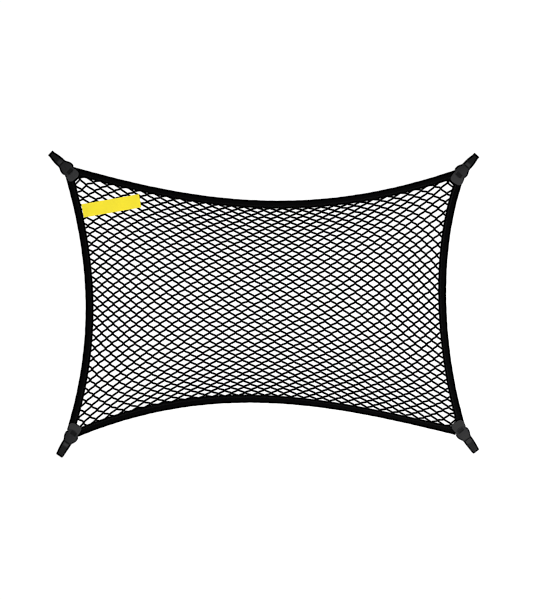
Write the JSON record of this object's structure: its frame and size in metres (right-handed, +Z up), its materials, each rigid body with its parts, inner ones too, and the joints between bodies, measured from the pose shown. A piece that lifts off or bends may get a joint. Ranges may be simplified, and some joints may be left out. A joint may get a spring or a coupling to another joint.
{
  "type": "cargo net",
  "caption": "Flat diamond-mesh cargo net with a bowed elastic binding, a blank sewn tag and a plastic hook in a keeper at each corner, for holding luggage down.",
  "frame": {"origin": "on the surface that the net lies on, under the middle of the whole net with its hooks", "axes": "+X along the long side, +Y across the net towards the side with the tag, +Z up"},
  "size_m": [0.9896, 0.7043, 0.0137],
  "materials": {
    "net_yarn": "black knitted cord, matt",
    "elastic_tape": "black woven elastic tape, matt",
    "tag_cloth": "yellow sewn-in cloth, matt",
    "keeper_plastic": "dark grey moulded plastic, satin",
    "hook_plastic": "near-black moulded plastic, satin"
  },
  "bodies": {
    "root": {"netting": "net_yarn", "binding": "elastic_tape", "tag": "tag_cloth", "keeper_far_left": "keeper_plastic", "keeper_far_right": "keeper_plastic", "keeper_near_right": "keeper_plastic", "keeper_near_left": "keeper_plastic", "hook_far_left": "hook_plastic", "hook_far_right": "hook_plastic", "hook_near_right": "hook_plastic", "hook_near_left": "hook_plastic"}
  },
  "joints": []
}
